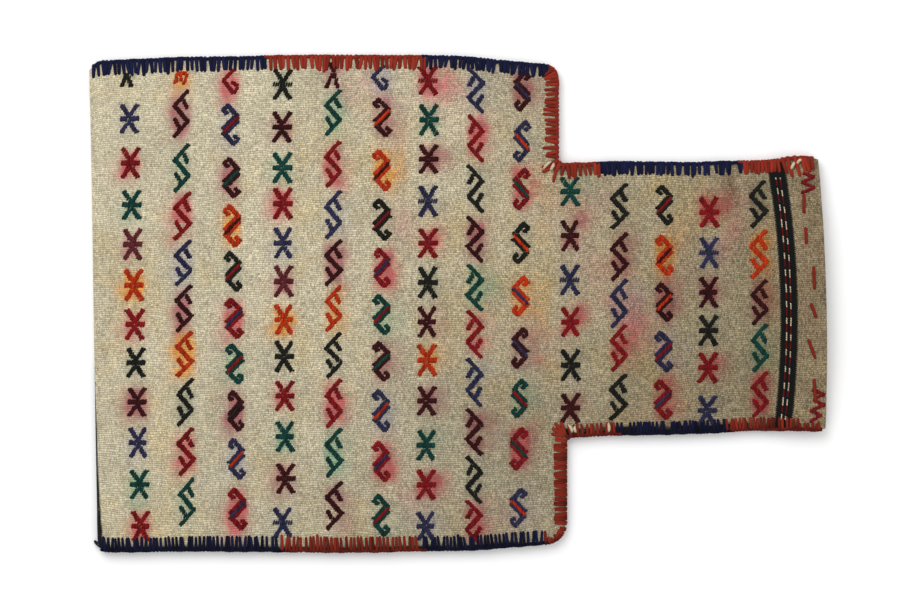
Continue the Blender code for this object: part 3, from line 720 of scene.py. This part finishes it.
def spans(shapes, x):
    """Where the outlines cover the line at x, as pairs of y, joined where they overlap."""
    found = []
    for points in shapes:
        cuts = [a[1] + (b[1] - a[1]) * (x - a[0]) / (b[0] - a[0])
                for a, b in zip(points, np.roll(points, -1, 0)) if (a[0] <= x) != (b[0] <= x)]
        if len(cuts) == 2:
            found.append([min(cuts), max(cuts)])
    found.sort()
    joined = []
    for low, high in found:
        if joined and low < joined[-1][1] + 0.25:
            joined[-1][1] = max(high, joined[-1][1])
        else:
            joined.append([low, high])
    return joined


def float_of(yarns, top, x, low, high, width, lift, lean, tone):
    """One float of brocade, from low to high across the bag, sunk into the cloth at its ends."""
    t = np.array((0, 0.16, 0.5, 0.84, 1.0))
    ys = mix(low, high, t)
    xs = x + lean * (t - 0.5)
    zs = [top(a, b) for a, b in zip(xs, ys)]
    if None in zs:
        return
    sink = np.array((-0.7, 0.05, 0.25, 0.05, -0.7)) + lift
    radius = width / 2 * np.array((0.6, 1.0, 1.05, 1.0, 0.6))
    yarns.add(np.stack([xs, ys, np.array(zs) + sink], 1), radius, (1, 0, 0), 6, 1.0, tone)


def fill(yarns, top, shapes, cx, cy, flip, lean, lift, limits, shade, rng):
    """Floats that fill outlines round (cx, cy)."""
    for k in range(-9, 10):
        x = (k + 0.25) * FLOAT_PITCH
        for low, high in spans(shapes, x):
            count = max(1, round((high - low) / rng.uniform(4.2, 6.0)))
            cuts = np.linspace(low, high, count + 1)
            cuts[1:-1] += rng.uniform(-0.6, 0.6, count - 1)
            for a, b in zip(cuts[:-1], cuts[1:]):
                a, b = cy + a - rng.uniform(-0.2, 0.5), cy + b + rng.uniform(-0.2, 0.5)
                a, b = max(a, limits[0]), min(b, limits[1])
                if b - a < 1.0:
                    continue
                px = cx + flip * x + lean * ((a + b) / 2 - cy) + rng.uniform(-0.18, 0.18)
                float_of(yarns, top, px, a, b, FLOAT_WIDTH * rng.uniform(0.85, 1.1),
                         lift + rng.uniform(-0.12, 0.12),
                         0.7 * flip + rng.uniform(-0.2, 0.2), np.clip(shade + rng.uniform(-0.4, 0.4), 0, 1))


def brocade(top):
    """All figures, as one mesh of floats for each colour."""
    by_colour = {}
    rng = np.random.default_rng(11)
    for shape, colours, cx, cy, _, _ in figures():
        step = cx + LENGTH / 2
        edges = [float(r) for r in reaches(np.array(step))]
        low_edge, high_edge = edges[1:3] if step > BODY + 4 else edges[::3]
        flip = -1 if shape.startswith("mirrored") else 1
        plain = shape.replace("mirrored ", "")
        lean = rng.uniform(-0.03, 0.03)
        size = np.array((rng.uniform(0.95, 1.05), rng.uniform(0.95, 1.04)))
        layers = [(outlines(SHAPES[plain], plain in ("comb", "hook")), colours[0], 0.0)]
        if plain == "ticked star":
            ticked = by_colour.setdefault(colours[0], Yarns())
            for x in TICKS:
                low, high = cy - 1.9 + rng.uniform(-0.4, 0.3), cy + 1.9 + rng.uniform(-0.3, 0.4)
                float_of(ticked, top, cx + x, low, high, 1.5, 0.15, 0.9, 0.4)
        if plain == "hook" and len(colours) > 1:
            layers.append((outlines(ACCENT, False), colours[1], 0.45))
        for shapes, colour, lift in layers:
            yarns = by_colour.setdefault(colour, Yarns())
            fill(yarns, top, [points * size for points in shapes], cx, cy, flip, lean, lift,
                 (low_edge + FIGURE_MARGIN, high_edge - FIGURE_MARGIN), rng.uniform(0.35, 0.65), rng)
    return by_colour


# Zigzags in the corners of the mouth: strokes in mm, their width, and the x that they are laid round
ZIGZAGS = ((281, 106, 290, 102.5), (290, 102.5, 279.5, 98.5), (279.5, 98.5, 290, 94), (290, 94, 279.5, 90),
           (288.5, -70, 298, -74), (298, -74, 289, -78), (289, -78, 298, -82.5), (298, -82.5, 287, -87),
           (287, -87, 295.5, -91), (295.5, -91, 286.5, -96))
ZIGZAG_WIDTH, ZIGZAG_X = 2.5, 288

# Ticks of the dark band in mm: both columns' offset and phase, and where a repeat's ivory and gap end
TICK_COLUMNS = ((-1.9, 0.0), (1.5, 1.3))
TICK_REPEAT, IVORY_END, GAP_END = 13.1, 5.6, 6.6
TICKS_START, TICKS_END = -94.0, 102


def crimson_marks(top, by_colour):
    """Small zigzags in both corners of the mouth."""
    rng = np.random.default_rng(4)
    shapes = [stroke_outline(*line, ZIGZAG_WIDTH) - (ZIGZAG_X, 0) for line in ZIGZAGS]
    no_limits = (-BODY_HALF, BODY_HALF)
    fill(by_colour.setdefault("crimson", Yarns()), top, shapes, ZIGZAG_X, 0, 1, 0, 0.0, no_limits, 0.6, rng)


def band_dashes(top, by_colour):
    """Two columns of red and ivory ticks in the dark band."""
    rng = np.random.default_rng(9)
    for offset, phase in TICK_COLUMNS:
        y = TICKS_START
        while y < TICKS_END:
            lean = (y - NECK_SHIFT) / NECK_HALF
            x, _ = plan(LENGTH - BAND_INSET - BAND_BOW * lean**2 + offset + 0.5 * lean, lean)
            turn = (y + phase + 200) % TICK_REPEAT
            if turn < IVORY_END or turn >= GAP_END:
                yarns = by_colour.setdefault("ivory band" if turn < IVORY_END else "red band", Yarns())
                float_of(yarns, top, float(x) + rng.uniform(-0.1, 0.1), y - 0.72, y + 0.72, 0.95, 0.15, -0.3,
                         rng.uniform(0.2, 0.8))
            y += RIB


# Yarns along the far side, 1, and the near side, -1: place, colour, length in mm, and least and most distance
# between stitches. The last one fills what is left.
YARNS = {1: (("base", "navy", 145, 2.7, 3.9), ("body", "rust", 128, 2.9, 3.8),
             ("shoulder", "navy", 103, 2.7, 3.8), ("corner", "rust", 113, 2.8, 3.6),
             ("neck", "navy", 116, 2.0, 2.6), ("mouth", "rust", None, 2.2, 3.0)),
         -1: (("base", "navy", 147, 2.5, 3.4), ("body", "rust", 115, 2.5, 3.4),
              ("shoulder", "navy", 100, 2.5, 3.4), ("corner", "rust", 137, 2.3, 2.9),
              ("neck", "navy", 89, 2.2, 2.8), ("mouth", "rust", None, 2.3, 2.9))}
SHOULDER_PITCH = (3.1, 4.1)


def side_path(side):
    """Fine points along one sewn side, with the way inwards at each, and the distance walked."""
    body = edge_line((YARN_START, 2 * side), (BODY, 2 * side), 430)
    shoulder = edge_line((BODY, 2 * side), (BODY, side), 90)
    neck = edge_line((BODY, side), (LENGTH - YARN_END, side), 230)
    path = np.concatenate([body, shoulder[1:], neck[1:]])
    root = len(body) + len(shoulder) - 2
    soft = path.copy()
    for i in range(root - 9, root + 10):
        width = 9 - abs(i - root)
        soft[i] = path[i - width:i + width + 1].mean(0)
    run, walked = along_path(soft)
    inward = np.stack([run[:, 1], -run[:, 0]], 1) * side
    kernel = np.hanning(13)
    padded = np.pad(inward, ((6, 6), (0, 0)), mode="edge")
    inward = np.stack([np.convolve(padded[:, k], kernel / kernel.sum(), "valid") for k in (0, 1)], 1)
    inward /= np.linalg.norm(inward, axis=1)[:, None]
    return soft, inward, walked


def level(query, x, y, nx, ny):
    """The height that a query finds, looked for further in where the point is past the edge."""
    for reach in (0, 0.5, 1.0, 1.6, 2.4, 3.5):
        z = query(x + nx * reach, y + ny * reach)
        if z is not None:
            return z
    return 5.0


# Where the cloth shows between the legs, as x in mm on each side of the neck
BARE = {1: ((151, 152.5), (161.2, 162), (169.3, 170.3), (176.5, 177.7), (183, 184), (199.6, 200.2),
            (206.4, 208.6), (212.2, 212.8), (223.4, 227.6), (272, 273), (277, 278.5)),
        -1: ((123, 124), (138, 139), (171.5, 172.5), (206, 208))}

NECK_PLACES = ("corner", "neck", "mouth")

# How far in mm the next colour's raised edge runs ahead of its legs
AHEAD = {1: 4.0, -1: -4.0}

# A stitch from the front's end over the edge to the back's: share of the leg and lift, and the width and
# the painted shade at each of its points, which darkens the near side's stitches where they turn away from the
# light
FRONT_LEG = ((1.0, -0.7), (0.9, 0.1), (0.6, 0.5), (0.28, 0.6))
BACK_LEG = ((0.35, -0.6), (0.75, -0.6), (1.0, 0.7))
STITCH_WIDTHS = np.array([0.6, 0.95, 1.0, 1.1, 1.1, 1.1, 1.05, 1.05, 0.9, 0.9, 0.85, 0.85, 0.5])
NEAR_EDGE_PAINTED_SHADE = np.array([0, 0, 0, 0.12, 0.3, 0.35, 0.4, 0.4, 0.4, 0.3, 0.2, 0.1, 0])
LOWEST = 0.95

# Long stitches that fan out from the neck's root: turn in degrees, length and radius
FANS = {1: ((8, 12.5, 1.5), (26, 13.5, 1.6), (78, 15.0, 1.3)),
        -1: ((8, 12.0, 1.5), (30, 13.0, 1.6), (50, 14.0, 1.6), (72, 12.5, 1.5))}
FAN_SPOTS = ((0.02, 0.4), (0.3, 0.8), (0.65, 0.7), (0.92, 0.3), (1.0, -0.7))

# The loose end of yarn at the near corner of the base: x and y from the corner, z and radius
TAIL = ((2.5, 1.2, 5.0, 1.2), (-0.5, 1.6, 4.6, 1.45), (-3.0, 3.2, 3.4, 1.45), (-5.0, 4.8, 2.4, 1.4),
        (-6.2, 6.2, 1.6, 0.9))


def raised(side, x):
    """How far the thick stitches at the far corner of the mouth stand out, in mm."""
    return 1.7 * math.exp(-(((x - 273) / 11) ** 2)) if side > 0 else 0.0


def leg_size(side, place, p, n, rng):
    """A stitch's length on the front, its slant and its radius, in mm."""
    near, on_shoulder = side < 0, abs(n[0]) > 0.7
    leg = rng.uniform(8.6, 10.6) + (1.2 if not near and place in ("base", "body") else 0)
    if near and place in ("base", "body", "shoulder"):
        leg = rng.uniform(10.4, 11.6) + 1.2 * math.exp(-(((p[0] + 130) / 90) ** 2))
    if rng.random() < (0.05 if near else 0.12):
        leg += rng.uniform(1.0, 2.2)
    if near and (on_shoulder or place in NECK_PLACES):
        leg = rng.uniform(9.2, 10.4)
    if near and place == "corner" and 0.2 < abs(n[0]) < 0.97 and p[1] < -150:
        leg = rng.uniform(3.2, 5.0)
    slant = rng.normal(0.02, 0.07 if near else 0.10) * leg
    bulge = raised(side, p[0])
    if bulge > 0.5:
        leg, slant = leg + 2.2 * bulge, slant + 1.5 * bulge
    if near and p[0] > 278:
        leg = rng.uniform(5.0, 7.0)
    thick = rng.uniform(1.05, 1.25) if near else rng.uniform(1.25, 1.55)
    if near and on_shoulder:
        thick = rng.uniform(0.9, 1.05)
    return leg, slant, thick


def stitch(p, n, along, leg, slant, bulge, top, under, rng):
    """Places of one stitch in mm, from the front's end over the edge to the back's."""
    spots = []
    for share, lift in FRONT_LEG:
        q = p + n * leg * share + along * slant * share
        spots.append((*q, level(top, *q, *n) + lift))
    rim, base = (level(query, *(p + n * 0.8), *n) for query in (top, under))
    for out, z in ((0.6, rim + 0.7), (-0.3, rim + 0.25), (-0.8, mix(rim, base, 0.3)),
                   (-0.8, mix(rim, base, 0.7)), (-0.3, base - 0.1), (0.6, base - 0.6)):
        spots.append((*(p + n * (out - bulge)), max(z, LOWEST)))
    back = leg * rng.uniform(0.75, 0.95)
    back_slant = rng.normal(0.25, 0.1) * back
    for share, lift in BACK_LEG:
        q = p + n * back * share + along * back_slant * share
        spots.append((*q, max(level(under, *q, *n) + lift, LOWEST)))
    return spots


def raised_edge(yarns, side, stations, at, top):
    """Three plies along the edge under the stitches. The near shoulder has none."""
    def bare(s):
        return side < 0 and abs(at(s)[1][0]) > 0.85

    changes = np.flatnonzero(np.diff([bare(s) for s in stations])) + 1
    runs = [run for run in np.split(stations, changes) if len(run) > 2 and not bare(run[1])]
    for ply, run in ((ply, run) for ply in range(3) for run in runs):
        rope = []
        for s in run:
            p, n = at(s)
            angle = s / 8.4 * 2 * math.pi + ply * 2 * math.pi / 3
            wave = 0.25 * math.sin(s / 2.1 + side) + 0.2 * math.sin(s / 6.3)
            wave += 0.2 * math.sin(s / 17.0 + 2 * side)
            inset = 0.1 + 0.75 * math.cos(angle) + wave - raised(side, p[0])
            rim = level(top, *(p + n * 1.2), *n)
            rope.append((*(p + n * inset), rim + 0.2 + 0.6 * math.sin(angle)))
        # Painted shade: the near side's plies are much darker than the far side's; each ply is a fixed step
        # lighter
        shade = 0.25 + 0.15 * ply if side > 0 else -0.36 + 0.12 * ply
        yarns.add(rope, 0.95, (0, 0, 1), 7, 1.0, shade)


def root_fan(yarns, side, top):
    """The long stitches at the neck's root."""
    root = np.array(plan(BODY, side), float)
    for turn, length, width in FANS[side]:
        turn = math.radians(turn)
        way = np.array((-math.cos(turn), -side * math.sin(turn)))
        spots = []
        for share, lift in FAN_SPOTS:
            q = root + way * length * share
            spots.append((*q, level(top, *q, *way) + lift))
        yarns.add(spots, width * np.array((0.8, 1, 1.05, 0.9, 0.5)), (way[1], -way[0], 0), 8, 0.75, 0.6)


def overcast(side, top, under, materials):
    """The wrapped stitches of one side, as one mesh for each length of yarn."""
    path, inward, walked = side_path(side)
    rng = np.random.default_rng(31 if side > 0 else 47)

    def at(s):
        """The place at a distance along the side, and the way inwards."""
        i = np.interp(s, walked, np.arange(len(walked)))
        j = min(int(i), len(path) - 2)
        p, n = mix(path[j], path[j + 1], i - j), mix(inward[j], inward[j + 1], i - j)
        return p, n / np.linalg.norm(n)

    made = []
    start = 0.0
    for place, colour, length, *pitch in YARNS[side]:
        end = walked[-1] if length is None else start + length
        yarns = Yarns()
        s = start + rng.uniform(0.6, 1.4)
        while s < end - 0.8:
            p, n = at(s)
            if place in NECK_PLACES and any(low - 1 < p[0] < high + 1 for low, high in BARE[side]):
                s += 0.5
                continue
            if place == "base" and s < 14:
                n = mix(np.array((0, -side)), n, s / 14)
                n /= np.linalg.norm(n)
            along = np.array((-n[1], n[0]))
            leg, slant, thick = leg_size(side, place, p, n, rng)
            # Random tone for each stitch, lowered by painted shade on the near side, with more painted shade
            # where it turns over the edge
            tone = np.clip(rng.normal(0.5, 0.25), 0, 1) - 0.25 * (side < 0)
            spots = stitch(p, n, along, leg, slant, raised(side, p[0]), top, under, rng)
            tones = tone - (side < 0) * NEAR_EDGE_PAINTED_SHADE
            twin = side < 0 and abs(n[0]) > 0.7
            for ply in (-0.78, 0.78) if twin else (0.0,):
                laid = np.array(spots) + (*along * ply, 0)
                yarns.add(laid, thick * STITCH_WIDTHS, (*along, 0), 8, 0.75, tones + 0.06 * ply)
            s += rng.uniform(*(SHOULDER_PITCH if twin else pitch))
            if rng.random() < 0.22:
                s += rng.uniform(0.5, 1.6)

        first = start - (AHEAD[side] if start else 0)
        last = end - (AHEAD[side] if end < walked[-1] else 0)
        raised_edge(yarns, side, np.arange(first, last, 1.2), at, top)
        if place == "corner":
            root_fan(yarns, side, top)
        if side < 0 and place == "base":
            (x, y), _ = at(0.5)
            tail = np.array(TAIL)
            yarns.add(tail[:, :3] + (x, y, 0), tail[:, 3], (0, 0, 1), 8, 1.0, 0.9)
        name = f"{'far' if side > 0 else 'near'}_{place}"
        piece = yarns.build(f"{colour}_stitches_{name}", materials[colour])
        made.append(dress(piece, f"{colour}_overcast_{name}"))
        start = end
    return made


# Ivory ends of warp that come out between the stitches: places in mm
LOOSE_ENDS = (((69.5, 108.5), (72.5, 113.5), (76.5, 115.5)), ((75, 108), (77.5, 111), (78.5, 114.5)),
              ((90, -98.5), (92.8, -101.5), (93.2, -105)), ((95.5, -99.5), (95, -102.5), (96.5, -105)),
              ((270.5, 108), (272.5, 112.5), (274, 115)), ((275.5, 112.5), (277.5, 116.5), (279.5, 116.5)),
              ((122.6, -97), (123.4, -101), (123, -104.5)))


def loose_ends(top):
    """Short ivory ends of yarn, each an arch over its places."""
    yarns = Yarns()
    t = (0, 0.7, 1.4, 2)
    for spots in LOOSE_ENDS:
        xs, ys = (np.interp(t, (0, 1, 2), line) for line in zip(*spots))
        base = [level(top, x, y, 0, -np.sign(y)) for x, y in zip(xs, ys)]
        zs = np.array(base) + (-0.6, 2.3, 2.6, 0.2)
        yarns.add(np.stack([xs, ys, zs], 1), (0.8, 1.25, 1.3, 0.7), (0, 0, 1), 7, 1.0, 0.4)
    piece = yarns.build("ivory_warp_ends", yarn_material("ivory warp", WOOLS["ivory"], 0.8))
    return dress(piece, "woven_cloth")


# Dashes of the running thread in mm: y and distance from the mouth, at both ends
HEM_DASHES = ((81, 14.1, 66, 15.3), (54, 14.7, 41, 14.7), (22, 9.6, 4, 9.6), (-8, 12.4, -19, 8.9),
              (-37, 15.2, -52, 9.9), (-69, 10.6, -88, 9.0))


def hem_thread(top, material):
    """The running thread: dashes over the front, and between them under the hem, inside the bag."""
    points = [[float(c) for c in plan(LENGTH - inset, across / NECK_HALF)]
              for across, inset in np.reshape(HEM_DASHES, (-1, 2))]
    spots = []
    for i, (x, y) in enumerate(points):
        opens = i % 2 == 0
        other = points[i + 1] if opens else points[i - 1]
        away = np.array((other[0] - x, other[1] - y))
        ax, ay = away / np.linalg.norm(away)
        z = top(x, y)
        low = z - 2 * THICKNESS - LAP - 1.0
        rise = [(x - ax, y - ay, low), (x, y, low + 1.2), (x, y, z - 0.6), (x + ax * 0.8, y + ay * 0.8, z + 0.4),
                (x + ax * 3, y + ay * 3, top(x + ax * 3, y + ay * 3) + 0.75)]
        spots += rise if opens else rise[::-1]
    laid = []
    for a, b in zip(spots[:-1], spots[1:]):
        laid.append(a)
        if abs(a[1] - b[1]) > 3.5 and a[2] > 4 and abs(a[2] - top(a[0], a[1])) < 1.2:
            for t in (0.25, 0.5, 0.75):
                x, y = mix(a[0], b[0], t), mix(a[1], b[1], t)
                laid.append((x, y, top(x, y) + 0.85))
    laid.append(spots[-1])
    yarns = Yarns()
    yarns.add(laid, 1.35, (1, 0, 0), 8, 0.75, 0.3)
    return dress(yarns.build("rust_running_thread", material), "hem_thread")


# Lamps: name, place in m, size and power
LAMPS = (("softbox", (-0.7, 1.15, 1.6), 1.6, 26), ("fill", (0.9, -0.3, 2.2), 2.0, 10))

# The camera's place in m, its sensor in mm, and how wide the picture is in m at a distance
EYE, SENSOR, PICTURE, DISTANCE = (-0.0061, 0.0028, 3.012), 36, 0.73125, 3.0


def stage():
    """A pale floor, soft light from above, and a camera that looks straight down."""
    floor = new_mesh("floor", [(-4, -4, 0), (4, -4, 0), (4, 4, 0), (-4, 4, 0)], [(0, 1, 2, 3)])
    floor.data.materials.append(Nodes("pale floor").finish((0.93, 0.93, 0.93, 1), 0.9, 0.0, 0.0))
    floor.location.z = -0.2 * MM

    scene = bpy.context.scene
    scene.world = bpy.data.worlds.new("studio")
    scene.world.use_nodes = True
    inputs = scene.world.node_tree.nodes["Background"].inputs
    inputs["Color"].default_value = (1, 1, 1, 1)
    inputs["Strength"].default_value = 0.70
    for name, place, size, power in LAMPS:
        light = bpy.data.lights.new(name, "AREA")
        light.shape = "SQUARE"
        light.size = size
        light.energy = power
        lamp = new_object(name, light)
        lamp.location = place
        lamp.rotation_mode = "QUATERNION"
        lamp.rotation_quaternion = (-Vector(place)).to_track_quat("-Z", "Y")

    camera = bpy.data.cameras.new("camera")
    camera.sensor_width = SENSOR
    camera.lens = SENSOR * DISTANCE / PICTURE
    camera.clip_end = 20
    scene.camera = new_object("camera", camera)
    scene.camera.location = EYE
    scene.view_settings.view_transform = "Standard"


def main():
    stage()
    cloth = weave_cloth()
    cloth.data.materials.append(weave_material())
    dress(cloth, "woven_cloth")
    top, under = surface(cloth)

    floats = brocade(top)
    crimson_marks(top, floats)
    band_dashes(top, floats)
    on_cloth = []
    for colour, yarns in floats.items():
        wool = yarn_material(f"{colour} brocade wool", WOOLS[colour.split()[0]], 0.6)
        piece = yarns.build(f"brocade_{colour.replace(' ', '_')}", wool)
        on_cloth.append(dress(piece, "woven_cloth"))

    yarn = {name: yarn_material(f"{name} yarn", WOOLS[name]) for name in ("navy", "rust")}
    on_cloth += overcast(1, top, under, yarn) + overcast(-1, top, under, yarn)
    on_cloth.append(hem_thread(top, yarn["rust"]))
    on_cloth.append(loose_ends(top))


main()
